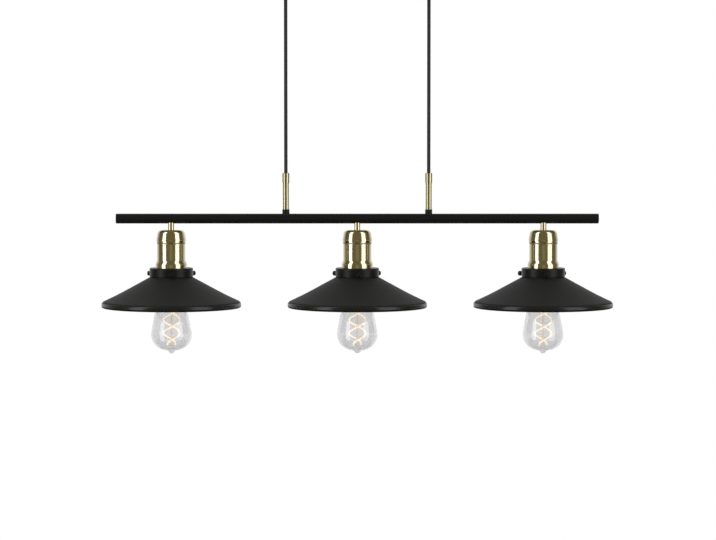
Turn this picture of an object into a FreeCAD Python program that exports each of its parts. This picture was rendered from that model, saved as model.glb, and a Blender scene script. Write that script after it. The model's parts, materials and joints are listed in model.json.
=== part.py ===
import FreeCAD, Part
import math
import os
from FreeCAD import Vector

# A straight bar hangs on two textile cords and carries three identical lamp heads.
# Millimetres. The origin is the centre of the ceiling face, X runs along the bar, Z up.

# Row of lamps
lamp_pitch = 300.0
cord_pitch = 230.0
bar_axis_z = -406.5
bar_length = 778.0
bar_diameter = 16.0
bar_wall = 1.5
bar_cap_thickness = 2.0
bar_cap_plug = 10.0
bar_cap_edge = 1.2

# Fits
fit_gap = 0.1
thread_gap = 0.05
running_gap = 0.06
seat_gap = 0.3
cut_over = 1.0
soft_edge = 0.8
same_place = 1e-6

# Ceiling canopy
canopy_end = 35.0
canopy_width = 60.0
canopy_height = 28.0
canopy_wall = 1.2
canopy_corner = 9.0
canopy_edge = 3.0

# Ceiling bracket
bracket_width = 30.0
bracket_thickness = 1.5
ear_height = 17.0
slot_pitch = 180.0
slot_length = 20.0
slot_width = 4.5
cable_hole_x = 38.0
cable_hole_diameter = 14.0

# Canopy screws
cover_screw_diameter = 4.0
cover_screw_drop = 10.0
cover_screw_reach = 5.0
cover_screw_head_diameter = 8.0
cover_screw_head = 2.6
cover_screw_head_edge = 1.6

# Terminal block
block_length = 28.0
block_pole_pitch = 7.0
block_poles = 3
block_pole_width = 6.0
block_base = 4.0
block_height = 14.0
block_bore = 3.4
block_screw_bore = 3.0
block_screw_pitch = 14.0

# Cord glands
gland_drop = 12.0
gland_flange_diameter = 16.0
gland_flange = 4.0
gland_mouth_diameter = 9.0
gland_flange_step = 1.0
gland_thread_diameter = 10.0
gland_nut_flats = 14.0
gland_nut_thickness = 3.0
gland_thread_end = 1.0

# Cords
cord_diameter = 5.6
cord_end_in_canopy = 4.0
cord_end_in_tube = 14.0
lead_diameter = 2.6
lead_bend = 6.0
lead_drop = 9.0
lead_stop = 6.0
lead_turn_x = 56.0
lead_turn_bend = 60.0

# Cord grips on the bar
grip_height = 65.5
collar_diameter = 11.6
collar_length = 14.5
collar_taper = 3.0
collar_mouth = 10.6
collar_roof = 2.5
collar_edge = 0.7
collar_taper_edge = 1.4
ring_wall = 0.8
ring_height = 6.9
ring_edge = 0.6

# Threaded tubes, and the nuts that hold them in the bar
tube_diameter = 10.0
tube_bore = 7.0
saddle_length = 18.0
saddle_face = 2.4
nipple_visible = 10.0
nipple_depth = 8.0

# Lampholder covers
holder_height = 61.5
holder_wall = 0.9
dome_radius = 21.0
dome_shoulder = 7.0
bulge_swell = 1.4
bulge_drop = 16.8
bulge_foot = 4.6
bulge_bend = 8.0
seam_radius = 23.0
seam_step = 0.2
boss_wall = 2.6
body_tuck = 5.0
flare_height = 5.5
flare_bend = 6.0
skirt_height = 6.8
skirt_swell = 2.6

# Lampholder insert
insert_top = 32.0
insert_flange = 6.0
insert_shoulder = 2.0
insert_end = 83.5
pocket_radius = 9.0
pocket_depth = 5.5
terminal_depth = 8.0
terminal_bore = 3.2
shell_wall = 0.35
shell_mouth_gap = 1.5
contact_thickness = 0.5
contact_width = 6.0
contact_reach = 6.0
contact_bend = 1.6
contact_tongue = 3.0

# Gallery ring
gallery_radius = 35.1
gallery_wall = 1.2
gallery_height = 14.2
gallery_edge = 1.6
gallery_hub = 8.0

# Thumb screws
screws_per_lamp = 3
screw_turn = 2.7
screw_rise = 4.4
screw_diameter = 4.0
screw_tip_chamfer = 0.5
screw_tip_gap = 0.1
screw_neck_diameter = 5.2
knob_clearance = 3.2
knob_length = 5.3
knob_diameter = 7.8
knob_edge = 1.2

# Shade
shade_diameter = 225.0
shade_wall = 1.0
neck_radius = 31.5
neck_bend = 2.5
bead_radius = 1.7
flank_fall = 29.7
brim_width = 24.5
brim_fall = 11.3
brim_blend = 17.4855
lip_width = 2.5
rim_height = 8.0
rim_thickness = 5.0
rim_step = 0.8
rim_top_bend = 3.6
rim_foot_bend = 3.0
rim_bore_bend = 1.5

# Bulb
bulb_length = 143.0
bulb_contact_drop = 56.5
contact_button_radius = 4.5
contact_button = 1.5
cap_cone = 2.6
cap_radius = 13.1
cap_wall = 0.4
cap_length = 27.0
cap_web = 9.0
cap_edge = 0.5
glass_wall = 0.9
glass_tuck = 13.0
neck_drop = 4.0
shoulder_radius = 20.4
shoulder_drop = 18.0
shoulder_bend = 34.0
neck_bend_radius = 14.0
belly_radius = 38.0
belly_rise = 6.8
belly_bend = 25.8
pip_radius = 7.2
pip_rise = 4.6
pip_bend = 3.0
pip_tip_radius = 3.0
pip_tip_bend = 3.0
button_edge = 0.7

# Filament and its glass stem
filament_diameter = 2.0
filament_arms = 2
filament_radius = 13.5
filament_pitch = 42.7
filament_end_radius = 6.5
filament_draw_in = 17.0
filament_bottom = 13.5
filament_height = 74.0
filament_front_rise = 29.4
filament_spans = 8
stem_flare_rim = 2.0
stem_flare_drop = 12.5
stem_flare_bend = 6.0
stem_radius = 3.2
stem_length = 36.0
stem_taper = 2.0
rod_radius = 1.5
rod_edge = 1.0
rod_overrun = 3.0
wire_radius = 0.45

# Places that several pieces share
bar_radius = bar_diameter / 2
bar_bore_radius = bar_radius - bar_wall
cord_radius = cord_diameter / 2
tube_radius = tube_diameter / 2
ring_radius = tube_radius + ring_wall
canopy_length = cord_pitch + 2 * canopy_end
canopy_floor_z = -canopy_height
gland_mouth_z = canopy_floor_z - gland_drop
flex_z = gland_mouth_z - fit_gap - cord_radius
bar_top_z = bar_axis_z + bar_radius
grip_top_z = bar_top_z + grip_height
holder_top_z = bar_axis_z - bar_radius - nipple_visible
bulge_radius = seam_radius + bulge_swell
seam_drop = bulge_drop + bulge_foot
body_radius = seam_radius - seam_step
flare_end = holder_height - skirt_height
flare_start = flare_end - flare_height
skirt_radius = body_radius + skirt_swell
flange_radius = body_radius - holder_wall - fit_gap
insert_radius = flange_radius - insert_shoulder
screw_radius = screw_diameter / 2
gallery_roof = holder_height + gallery_wall
gallery_foot = holder_height + gallery_height
gallery_bore_radius = gallery_radius - gallery_wall
knob_start = gallery_radius + knob_clearance
knob_end = knob_start + knob_length
screw_drop = gallery_foot - screw_rise
bead_drop = screw_drop - screw_radius - fit_gap - bead_radius
shade_radius = shade_diameter / 2
flank_top = gallery_foot + seat_gap
lip_radius = shade_radius - lip_width
brim_start = shade_radius - brim_width
flank_slope = flank_fall / (brim_start - gallery_bore_radius)
brim_slope = brim_fall / brim_width
shell_radius = cap_radius + seat_gap + shell_wall
bulb_tip_drop = bulb_contact_drop + bulb_length
cap_end_drop = bulb_contact_drop + cap_length

lamp_places = {"left": -lamp_pitch, "middle": 0.0, "right": lamp_pitch}
cord_places = {"left": -cord_pitch / 2, "right": cord_pitch / 2}


def straight_run(start, end):
    """The line between two bends, or none where they touch."""
    if start.distanceToPoint(end) < same_place:
        return []
    return [Part.LineSegment(start, end).toShape()]


def bend_reaches(points, radii):
    """How far each corner's bend reaches along its runs, less where two bends would overlap."""
    reaches = [0.0]
    for before, corner, after, radius in zip(points, points[1:], points[2:], radii[1:]):
        half_turn = (corner - before).getAngle(after - corner) / 2
        reaches.append(radius * math.tan(half_turn))
    reaches.append(0.0)
    shares = [1.0]
    for start, end, near, far in zip(points, points[1:], reaches, reaches[1:]):
        shares.append(min(1.0, start.distanceToPoint(end) / max(near + far, same_place)))
    shares.append(1.0)
    return [reach * min(pair) for reach, pair in zip(reaches, zip(shares, shares[1:]))]


def rounded_path(corners):
    """A wire of straight runs joined by tangent arcs. A corner is a point and its radius."""
    points = [Vector(*corner[:3]) for corner in corners]
    reaches = bend_reaches(points, [corner[3] for corner in corners])
    edges = []
    here = points[0]
    for before, corner, after, reach in zip(points, points[1:], points[2:], reaches[1:]):
        if reach == 0:
            edges += straight_run(here, corner)
            here = corner
            continue
        arrive = (corner - before).normalize()
        leave = (after - corner).normalize()
        half_turn = arrive.getAngle(leave) / 2
        radius = reach / math.tan(half_turn)
        bend_start = corner - arrive * reach
        bend_end = corner + leave * reach
        inward = (leave - arrive).normalize()
        bend_middle = corner + inward * (radius / math.cos(half_turn) - radius)
        edges += straight_run(here, bend_start)
        edges.append(Part.Arc(bend_start, bend_middle, bend_end).toShape())
        here = bend_end
    edges += straight_run(here, points[-1])
    return Part.Wire(edges)


def profile(corners):
    """The same in the XZ plane: a corner is a radius from the axis, a height and a bend."""
    return rounded_path([(c[0], 0, c[1], c[2] if len(c) > 2 else 0) for c in corners])


def turned(corners):
    """A solid of revolution about Z. The first corner closes the outline."""
    outline = profile(list(corners) + [corners[0]])
    return Part.Face(outline).revolve(Vector(0, 0, 0), Vector(0, 0, 1), 360)


def strip(corners, wall):
    """A flat band with one edge on the outline and its wall on the right-hand side of it."""
    return profile(corners).makeOffset2D(-wall, join=2, fill=True, openResult=True).Faces[0]


def spun(corners, wall):
    """Sheet metal or glass turned about Z, whose outer skin follows the outline."""
    return strip(corners, wall).revolve(Vector(0, 0, 0), Vector(0, 0, 1), 360)


def turned_ring(radius, z, wire):
    circle = Part.Wire(Part.makeCircle(wire, Vector(radius, 0, z), Vector(0, 1, 0)))
    return Part.Face(circle).revolve(Vector(0, 0, 0), Vector(0, 0, 1), 360)


def rod(radius, low, high):
    """A cylinder between two points."""
    return Part.makeCylinder(radius, low.distanceToPoint(high), low, high - low)


def upright_rod(radius, x, low_z, high_z):
    return rod(radius, Vector(x, 0, low_z), Vector(x, 0, high_z))


def hexagon(flats, thickness, x, low_z):
    radius = flats / math.sqrt(3)
    turns = [math.radians(60 * k) for k in range(7)]
    ring = [Vector(x + radius * math.cos(t), radius * math.sin(t), low_z) for t in turns]
    return Part.Face(Part.makePolygon(ring)).extrude(Vector(0, 0, thickness))


def tube_along(path, radius):
    """A round tube along a path of lines and arcs."""
    start = path.Edges[0]
    begin = start.valueAt(start.FirstParameter)
    heading = start.tangentAt(start.FirstParameter)
    section = Part.Wire(Part.makeCircle(radius, begin, heading))
    tube = path.makePipeShell([section], True, False)
    drift = abs(tube.Volume / (math.pi * radius**2 * path.Length) - 1)
    if drift > 0.01:
        raise ValueError("a tube's volume is not its section times its length")
    return tube


def moved(shape, x=0.0, z=0.0):
    copy = shape.copy()
    copy.translate(Vector(x, 0, z))
    return copy


def save(name, *solids):
    shape = solids[0] if len(solids) == 1 else Part.makeCompound(list(solids))
    if not shape.isValid():
        raise ValueError(name + " is not a valid shape")
    shape.exportStep("parts/" + name + ".step")
    print(name, len(shape.Solids), "solid(s),", round(shape.Volume / 1000, 3), "cm3")


# Ceiling fitting


def rounded_box(length, width, corner, low_z, high_z):
    box = Part.makeBox(
        length, width, high_z - low_z, Vector(-length / 2, -width / 2, low_z)
    )
    upright = [e for e in box.Edges if abs(e.tangentAt(e.FirstParameter).z) > 0.99]
    return box.makeFillet(corner, upright)


def foot_edges(box, z):
    return [e for e in box.Edges if abs(e.BoundBox.ZMax - z) + abs(e.BoundBox.ZMin - z) < same_place]


def canopy_cover():
    outer = rounded_box(canopy_length, canopy_width, canopy_corner, canopy_floor_z, 0)
    outer = outer.makeFillet(canopy_edge, foot_edges(outer, canopy_floor_z))
    floor_z = canopy_floor_z + canopy_wall
    inner = rounded_box(
        canopy_length - 2 * canopy_wall,
        canopy_width - 2 * canopy_wall,
        canopy_corner - canopy_wall,
        floor_z,
        cut_over,
    )
    inner = inner.makeFillet(canopy_edge - canopy_wall, foot_edges(inner, floor_z))
    cover = outer.cut(inner)
    for x in cord_places.values():
        bore = gland_thread_diameter / 2 + fit_gap
        cover = cover.cut(upright_rod(bore, x, canopy_floor_z - cut_over, floor_z + cut_over))
    end = Vector(canopy_length, 0, -cover_screw_drop)
    return cover.cut(rod(cover_screw_diameter / 2 + fit_gap, Vector(-end.x, 0, end.z), end))


def bracket_end_x():
    return canopy_length / 2 - canopy_wall - fit_gap


def bracket_slot(x):
    """The tool that cuts a slot with round ends, along X, through the bracket."""
    low_z = -bracket_thickness - cut_over
    reach = (slot_length - slot_width) / 2
    height = cut_over - low_z
    slot = Part.makeBox(2 * reach, slot_width, height, Vector(x - reach, -slot_width / 2, low_z))
    for side in (-1, 1):
        slot = slot.fuse(upright_rod(slot_width / 2, x + side * reach, low_z, cut_over))
    return slot


def ceiling_bracket():
    half = bracket_end_x()
    strap = Part.makeBox(
        2 * half, bracket_width, bracket_thickness,
        Vector(-half, -bracket_width / 2, -bracket_thickness),
    )
    for side in (-1, 1):
        inner_x = side * (half - bracket_thickness)
        ear = Part.makeBox(
            bracket_thickness, bracket_width, ear_height,
            Vector(min(inner_x, side * half), -bracket_width / 2, -ear_height),
        )
        strap = strap.fuse(ear).cut(bracket_slot(side * slot_pitch / 2))
    hole_z = -bracket_thickness - cut_over
    strap = strap.cut(upright_rod(cable_hole_diameter / 2, cable_hole_x, hole_z, cut_over))
    tapped = cover_screw_diameter / 2 + thread_gap
    end = Vector(canopy_length, 0, -cover_screw_drop)
    return strap.cut(rod(tapped, Vector(-end.x, 0, end.z), end)).removeSplitter()


def canopy_screws():
    """Two screws through the end walls into the bracket's ears."""
    head_x = canopy_length / 2
    tip_x = bracket_end_x() - bracket_thickness - cover_screw_reach
    head = turned([
        (0, 0), (cover_screw_head_diameter / 2, 0),
        (cover_screw_head_diameter / 2, cover_screw_head, cover_screw_head_edge),
        (0, cover_screw_head),
    ])
    shank = rod(cover_screw_diameter / 2, Vector(0, 0, tip_x - head_x), Vector(0, 0, 0))
    screw = head.fuse(shank)
    screws = []
    for side in (-1, 1):
        copy = screw.copy()
        copy.rotate(Vector(0, 0, 0), Vector(0, 1, 0), side * 90)
        copy.translate(Vector(side * head_x, 0, -cover_screw_drop))
        screws.append(copy)
    return screws


def block_bore_z():
    return -bracket_thickness - lead_drop


def terminal_block():
    top_z = -bracket_thickness
    middle = (block_poles - 1) / 2
    width = block_pole_pitch * (block_poles - 1) + block_pole_width
    block = Part.makeBox(
        block_length, width, block_base, Vector(-block_length / 2, -width / 2, top_z - block_base)
    )
    for k in range(block_poles):
        y = (k - middle) * block_pole_pitch
        pole = Part.makeBox(
            block_length, block_pole_width, block_height,
            Vector(-block_length / 2, y - block_pole_width / 2, top_z - block_height),
        )
        block = block.fuse(pole)
    for k in range(block_poles):
        y = (k - middle) * block_pole_pitch
        far = Vector(block_length, y, block_bore_z())
        block = block.cut(rod(block_bore / 2, Vector(-far.x, y, far.z), far))
        for x in (-block_screw_pitch / 2, block_screw_pitch / 2):
            well = Part.makeCylinder(
                block_screw_bore / 2, block_height,
                Vector(x, y, block_bore_z() - block_height),
            )
            block = block.cut(well)
    return block.removeSplitter()


def cord_gland():
    """The grip under the canopy that a cord leaves by, with its thread up through the floor."""
    bore = cord_radius + fit_gap
    thread = gland_thread_diameter / 2
    flange = gland_flange_diameter / 2
    thread_top = canopy_floor_z + canopy_wall + gland_nut_thickness + gland_thread_end
    return turned([
        (bore, gland_mouth_z),
        (gland_mouth_diameter / 2, gland_mouth_z, soft_edge),
        (flange - gland_flange_step, canopy_floor_z - gland_flange, soft_edge),
        (flange, canopy_floor_z - gland_flange, gland_flange_step / 4),
        (flange, canopy_floor_z),
        (thread, canopy_floor_z),
        (thread, thread_top),
        (bore, thread_top),
    ])


def gland_nut(x):
    low_z = canopy_floor_z + canopy_wall
    nut = hexagon(gland_nut_flats, gland_nut_thickness, x, low_z)
    bore = gland_thread_diameter / 2 + thread_gap
    top_z = low_z + gland_nut_thickness
    return nut.cut(upright_rod(bore, x, low_z - cut_over, top_z + cut_over))


def canopy_lead(x):
    """A cord's upper end in its gland, and its inner lead bent over to the terminal block."""
    side = math.copysign(1, x)
    cord_top = canopy_floor_z + canopy_wall + gland_nut_thickness + cord_end_in_canopy
    pole_y = side * block_pole_pitch
    end_x = side * (block_length / 2 - lead_stop)
    path = rounded_path([
        (x, 0, cord_top, 0),
        (x, 0, block_bore_z(), lead_bend),
        (side * lead_turn_x, pole_y, block_bore_z(), lead_turn_bend),
        (end_x, pole_y, block_bore_z(), 0),
    ])
    return upright_rod(cord_radius, x, gland_mouth_z, cord_top).fuse(
        tube_along(path, lead_diameter / 2)
    )


# Cords and their grips on the bar


def cord(x):
    """The free cord, rounded where it flexes under its gland, down into the grip's tube."""
    straight = upright_rod(cord_radius, x, grip_top_z - cord_end_in_tube, flex_z)
    return straight.fuse(Part.makeSphere(cord_radius, Vector(x, 0, flex_z)))


def grip_collar():
    taper_z = grip_top_z - collar_length
    mouth_z = taper_z - collar_taper
    roof_z = grip_top_z - collar_roof
    cord_bore = cord_radius + fit_gap
    tube_bore_radius = tube_radius + thread_gap
    return turned([
        (cord_bore, grip_top_z),
        (collar_diameter / 2, grip_top_z, collar_edge),
        (collar_diameter / 2, taper_z, collar_taper_edge),
        (collar_mouth / 2, mouth_z),
        (tube_bore_radius, mouth_z),
        (tube_bore_radius, roof_z),
        (cord_bore, roof_z),
    ])


def hollow_tube(x, low_z, high_z):
    outer = upright_rod(tube_radius, x, low_z, high_z)
    return outer.cut(upright_rod(tube_bore / 2, x, low_z - cut_over, high_z + cut_over))


def grip_ring(x):
    """The black ring nut, cut at its foot to sit on the round bar."""
    top_z = bar_top_z + ring_height
    bore = tube_radius + thread_gap
    ring = turned([
        (bore, top_z), (ring_radius, top_z, ring_edge),
        (ring_radius, bar_axis_z), (bore, bar_axis_z),
    ])
    return moved(ring, x).cut(bar_rod(bar_radius, bar_length))


# Bar


def bar_rod(radius, length, x=0.0):
    return rod(
        radius, Vector(x - length / 2, 0, bar_axis_z), Vector(x + length / 2, 0, bar_axis_z)
    )


def bar_tube():
    length = bar_length - 2 * bar_cap_thickness
    bar = bar_rod(bar_radius, length).cut(bar_rod(bar_bore_radius, bar_length))
    bore = tube_radius + thread_gap
    for x in lamp_places.values():
        bar = bar.cut(upright_rod(bore, x, bar_axis_z - bar_diameter, bar_axis_z))
    for x in cord_places.values():
        bar = bar.cut(upright_rod(bore, x, bar_axis_z, bar_axis_z + bar_diameter))
    return bar


def bar_caps():
    plug = bar_bore_radius - fit_gap
    cap = turned([
        (0, -bar_cap_plug), (plug, -bar_cap_plug, soft_edge), (plug, 0),
        (bar_radius, 0), (bar_radius, bar_cap_thickness, bar_cap_edge), (0, bar_cap_thickness),
    ])
    caps = []
    for side in (-1, 1):
        copy = cap.copy()
        copy.rotate(Vector(0, 0, 0), Vector(0, 1, 0), side * 90)
        copy.translate(Vector(side * (bar_length / 2 - bar_cap_thickness), 0, bar_axis_z))
        caps.append(copy)
    return caps


def saddle_nut(x, side):
    """A nut inside the bar, round on the side that bears on the wall: below 0 is a lamp's."""
    nut = bar_rod(bar_bore_radius - thread_gap, saddle_length, x)
    low_z = bar_axis_z + saddle_face if side > 0 else bar_axis_z - bar_diameter
    high_z = low_z + bar_diameter if side > 0 else bar_axis_z - saddle_face
    keep = Part.makeBox(
        saddle_length, bar_diameter, high_z - low_z,
        Vector(x - saddle_length / 2, -bar_radius, low_z),
    )
    bore = upright_rod(tube_radius + thread_gap, x, low_z - cut_over, high_z + cut_over)
    return nut.common(keep).cut(bore)


def bar_leads():
    """The leads from each cord's end, through the bar, to the terminals of the lamps."""
    start_z = grip_top_z - cord_end_in_tube
    end_z = holder_top_z - insert_top - terminal_depth + fit_gap
    offset = lead_diameter / 2 + fit_gap
    runs = [
        ("left", "left", -offset), ("left", "middle", offset), ("right", "right", 0.0),
    ]
    leads = []
    for cord_name, lamp_name, y in runs:
        cord_x = cord_places[cord_name]
        lamp_x = lamp_places[lamp_name]
        path = rounded_path([
            (cord_x, y, start_z, 0),
            (cord_x, y, bar_axis_z, lead_bend),
            (lamp_x, 0, bar_axis_z, lead_bend),
            (lamp_x, 0, end_z, 0),
        ])
        leads.append(tube_along(path, lead_diameter / 2))
    return leads


# Lampholder, drawn from its top face downwards


def nipple():
    top_z = nipple_visible + bar_radius - saddle_face
    return hollow_tube(0, -nipple_depth, top_z)


def holder_cap():
    """The domed top with its bulge, and the threaded boss that the nipple screws into."""
    bore = tube_radius + thread_gap
    dome = spun([
        (bore, 0),
        (dome_radius, 0, dome_shoulder),
        (bulge_radius, -bulge_drop, bulge_bend),
        (seam_radius, -seam_drop),
    ], holder_wall)
    boss_top = -holder_wall / 2
    boss = turned([
        (bore, boss_top), (bore + boss_wall, boss_top),
        (bore + boss_wall, -nipple_depth), (bore, -nipple_depth),
    ])
    return dome.fuse(boss)


def holder_body():
    """The straight body, tucked up into the cap and flared into a skirt at its foot."""
    tuck_radius = seam_radius - holder_wall - fit_gap
    step_drop = seam_drop + fit_gap
    return spun([
        (tuck_radius, -seam_drop + body_tuck),
        (tuck_radius, -step_drop),
        (body_radius, -step_drop),
        (body_radius, -flare_start, flare_bend),
        (skirt_radius, -flare_end, flare_bend),
        (skirt_radius, -holder_height),
    ], holder_wall)


def pocket_roof():
    return bulb_contact_drop - seat_gap - pocket_depth


def insert():
    """The ceramic insert that holds the screw shell and carries the gallery outside."""
    shelf = pocket_roof() + pocket_depth
    shell_bore = shell_radius + thread_gap
    ceramic = turned([
        (0, -insert_top), (flange_radius, -insert_top, soft_edge),
        (flange_radius, -insert_top - insert_flange, soft_edge),
        (insert_radius, -insert_top - insert_flange),
        (insert_radius, -insert_end, soft_edge),
        (shell_bore, -insert_end),
        (shell_bore, -shelf), (pocket_radius, -shelf),
        (pocket_radius, -pocket_roof()), (0, -pocket_roof()),
    ])
    return ceramic.cut(upright_rod(terminal_bore / 2, 0, -insert_top - terminal_depth, 0))


def screw_shell():
    top = -(pocket_roof() + pocket_depth + thread_gap)
    return spun([
        (pocket_radius + thread_gap, top), (shell_radius, top, soft_edge),
        (shell_radius, -insert_end + shell_mouth_gap),
    ], shell_wall)


def centre_contact():
    """A folded spring leaf whose tongue the bulb's contact pushes up against."""
    roof = -(pocket_roof() + thread_gap)
    tongue = -(bulb_contact_drop - seat_gap)
    leaf = strip([
        (-contact_reach, roof), (contact_reach, roof, contact_bend),
        (contact_reach, tongue, contact_bend), (-contact_tongue, tongue),
    ], contact_thickness)
    leaf.translate(Vector(0, -contact_width / 2, 0))
    return leaf.extrude(Vector(0, contact_width, 0))


def screw_azimuths():
    return [-90 + screw_turn + k * 360 / screws_per_lamp for k in range(screws_per_lamp)]


def gallery():
    """The ring that carries the shade: hub, flat roof and a deep flange with tapped holes."""
    hub_bore = insert_radius + fit_gap
    ring = spun([
        (hub_bore, -gallery_roof - gallery_hub), (hub_bore, -holder_height),
        (gallery_radius, -holder_height, gallery_edge), (gallery_radius, -gallery_foot),
    ], gallery_wall)
    for azimuth in screw_azimuths():
        tapped = rod(
            screw_radius + running_gap, Vector(neck_radius, 0, -screw_drop),
            Vector(gallery_radius + cut_over, 0, -screw_drop),
        )
        tapped.rotate(Vector(0, 0, 0), Vector(0, 0, 1), azimuth)
        ring = ring.cut(tapped)
    return ring


def thumb_screw(azimuth):
    """A screw that pinches the shade's neck, drawn along X and turned to its place."""
    tip = neck_radius + screw_tip_gap
    knob = knob_diameter / 2
    neck = screw_neck_diameter / 2
    screw = turned([
        (0, tip), (screw_radius - screw_tip_chamfer, tip),
        (screw_radius, tip + screw_tip_chamfer),
        (screw_radius, gallery_radius + seat_gap),
        (neck, gallery_radius + seat_gap), (neck, knob_start),
        (knob, knob_start, knob_edge), (knob, knob_end, knob_edge), (0, knob_end),
    ])
    screw.rotate(Vector(0, 0, 0), Vector(0, 1, 0), 90)
    screw.translate(Vector(0, 0, -screw_drop))
    screw.rotate(Vector(0, 0, 0), Vector(0, 0, 1), azimuth)
    return screw


def brim_drop(radius):
    """How far the brim's outer skin lies below the holder's top face."""
    return flank_top + flank_fall + (radius - brim_start) * brim_slope


def brim_bend():
    """The radius of the gentle bend that starts and ends one blend away from the brim's start."""
    half_turn = abs(math.atan(flank_slope) - math.atan(brim_slope)) / 2
    return brim_blend / math.tan(half_turn)


def shade():
    """A shallow spun cone: beaded neck, straight flank, flatter brim and a rim under its lip."""
    neck_foot = flank_top - (gallery_bore_radius - neck_radius) * flank_slope
    cone = spun([
        (neck_radius, -gallery_roof - seat_gap), (neck_radius, -neck_foot, neck_bend),
        (brim_start, -brim_drop(brim_start), brim_bend()), (lip_radius, -brim_drop(lip_radius)),
    ], shade_wall)
    bead = turned_ring(neck_radius, -bead_drop, bead_radius)
    rim_bore = shade_radius - rim_thickness
    rim_top = -brim_drop(shade_radius) - rim_step
    rim_foot = rim_top - rim_height
    rim = turned([
        (rim_bore, -brim_drop(rim_bore) - rim_step), (shade_radius, rim_top, rim_top_bend),
        (shade_radius, rim_foot, rim_foot_bend), (rim_bore, rim_foot, rim_bore_bend),
    ])
    return cone.fuse([bead, rim])


# Bulb, drawn from the holder's top face downwards


def bulb_cap():
    """The screw cap: contact button, insulating cone and a thin skirt round the glass neck."""
    top = -bulb_contact_drop
    button_foot = top - contact_button
    cone_foot = button_foot - cap_cone
    bore = cap_radius - cap_wall
    return turned([
        (0, top), (contact_button_radius, top, button_edge),
        (contact_button_radius, button_foot),
        (cap_radius, cone_foot, cap_edge), (cap_radius, -cap_end_drop),
        (bore, -cap_end_drop), (bore, top - cap_web), (0, top - cap_web),
    ])


def glass_neck_radius():
    return cap_radius - cap_wall - fit_gap


def bulb_glass():
    """A tapered envelope: slim neck, sloping shoulder, round belly and a small pip."""
    neck = glass_neck_radius()
    tip = -bulb_tip_drop
    return spun([
        (neck, -cap_end_drop + glass_tuck),
        (neck, -cap_end_drop - neck_drop, neck_bend_radius),
        (shoulder_radius, -cap_end_drop - shoulder_drop, shoulder_bend),
        (belly_radius, tip + belly_rise, belly_bend),
        (pip_radius, tip + pip_rise, pip_bend),
        (pip_tip_radius, tip, pip_tip_bend),
        (0, tip),
    ], glass_wall)


def filament_point(arm, share):
    """A place on one arm of the double helix, from its lower end, 0, to its upper end, 1."""
    low = -bulb_tip_drop + filament_bottom
    rise = share * filament_height
    draw = max(0.0, 1 - rise / filament_draw_in)
    radius = filament_radius - (filament_radius - filament_end_radius) * draw**2
    turn = 2 * math.pi * ((rise - filament_front_rise) / filament_pitch + arm / filament_arms)
    turn -= math.pi / 2
    return Vector(radius * math.cos(turn), radius * math.sin(turn), low + rise)


def filament_heading(arm, share):
    step = 1e-4
    ahead = filament_point(arm, min(1.0, share + step))
    behind = filament_point(arm, max(0.0, share - step))
    return (ahead - behind).normalize()


def arc_from(start, heading, end):
    """The arc that leaves start along heading and ends at end."""
    chord = end - start
    half_turn = heading.getAngle(chord)
    aim = (heading + Vector(chord).normalize()).normalize()
    middle = start + aim * (chord.Length / (2 * math.cos(half_turn / 2)))
    return Part.Arc(start, middle, end)


def biarc(start, heading, end, leaving):
    """Two arcs that meet smoothly and keep the headings at both ends."""
    gap = end - start
    both = heading + leaving
    a = both.dot(both) - 4
    b = -2 * gap.dot(both)
    c = gap.dot(gap)
    reach = (-b - math.sqrt(b * b - 4 * a * c)) / (2 * a)
    if reach < 0:
        reach = (-b + math.sqrt(b * b - 4 * a * c)) / (2 * a)
    first = start + heading * reach
    last = end - leaving * reach
    joint = (first + last) / 2
    backward = arc_from(end, leaving * -1, joint)
    middle = backward.value((backward.FirstParameter + backward.LastParameter) / 2)
    return [arc_from(start, heading, joint), Part.Arc(joint, middle, end)]


def filament_arm(arm):
    arcs = []
    for k in range(filament_spans):
        low, high = k / filament_spans, (k + 1) / filament_spans
        arcs += biarc(
            filament_point(arm, low), filament_heading(arm, low),
            filament_point(arm, high), filament_heading(arm, high),
        )
    path = Part.Wire([arc.toShape() for arc in arcs])
    return tube_along(path, filament_diameter / 2)


def filament_least_gap():
    """The least clear space between the arms, and between one arm's neighbouring turns."""
    shares = [k / 400 for k in range(401)]
    first = [filament_point(0, share) for share in shares]
    second = [filament_point(1, share) for share in shares]
    turn_share = filament_pitch / filament_height
    apart = [p.distanceToPoint(q) for p in first for q in second]
    apart += [
        first[i].distanceToPoint(first[j])
        for i in range(len(shares))
        for j in range(i, len(shares))
        if shares[j] - shares[i] > turn_share / 2
    ]
    return min(apart) - filament_diameter


def bulb_stem(arms):
    """The sealed glass stem and rod, with the wires that hold the filament's four ends."""
    top = -cap_end_drop + glass_tuck
    flare = glass_neck_radius() - glass_wall - fit_gap
    stem_foot = top - stem_length
    rod_foot = -bulb_tip_drop + filament_bottom - rod_overrun
    stem = turned([
        (0, top), (flare, top), (flare, top - stem_flare_rim, rod_edge),
        (stem_radius, top - stem_flare_drop, stem_flare_bend),
        (stem_radius, stem_foot, rod_edge), (rod_radius, stem_foot - stem_taper, rod_edge),
        (rod_radius, rod_foot, rod_edge), (0, rod_foot),
    ])
    for arm in range(filament_arms):
        for share, start_z in ((0.0, rod_foot + 2 * rod_radius), (1.0, stem_foot + stem_radius)):
            wire = rod(wire_radius, Vector(0, 0, start_z), filament_point(arm, share))
            stem = stem.fuse(wire)
    return stem.cut(Part.makeCompound(arms))


os.makedirs("parts", exist_ok=True)

save("canopy_cover", canopy_cover())
save("ceiling_bracket", ceiling_bracket())
save("canopy_screws", *canopy_screws())
save("terminal_block", terminal_block())
save("gland_nuts", *[gland_nut(x) for x in cord_places.values()])
save("canopy_leads", *[canopy_lead(x) for x in cord_places.values()])

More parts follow.
